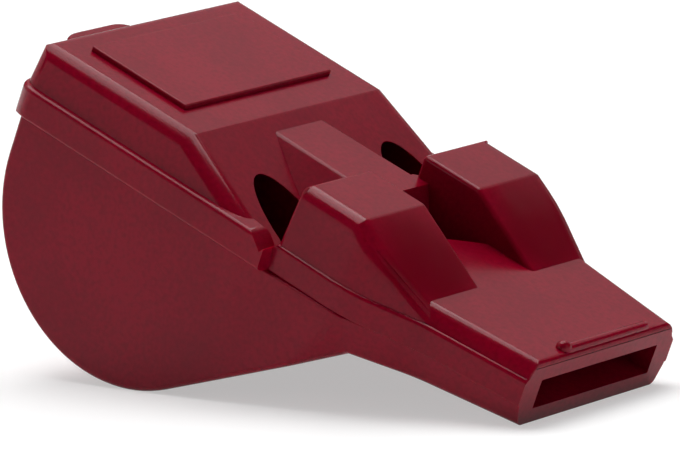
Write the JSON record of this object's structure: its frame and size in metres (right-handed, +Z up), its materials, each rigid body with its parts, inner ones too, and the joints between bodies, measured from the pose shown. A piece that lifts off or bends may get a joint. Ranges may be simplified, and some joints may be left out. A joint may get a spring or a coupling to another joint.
{
  "type": "pealess sports whistle",
  "caption": "Pealess sports whistle with a flat-sided round chamber, a raised bare plate, windows in its front slope, a ridge, blocks beside a channel, a wide mouthpiece and a lanyard lug.",
  "frame": {"origin": "on the surface it rests on, under the middle of the whole whistle's box", "axes": "+X level towards the mouthpiece, +Y across the whistle, +Z up. The whistle rests on its round chamber and the lower edge of its mouthpiece, so its deck falls towards +X by 23.35 degrees."},
  "size_m": [0.0478, 0.0264, 0.025],
  "materials": {
    "upper_plastic": "semi-gloss moulded, deep red",
    "lower_plastic": "semi-gloss moulded, deep red",
    "insert_plastic": "semi-gloss moulded, deep red"
  },
  "bodies": {
    "root": {"upper_moulding": "upper_plastic", "lower_moulding": "lower_plastic", "wind_way_insert": "insert_plastic"}
  },
  "joints": []
}
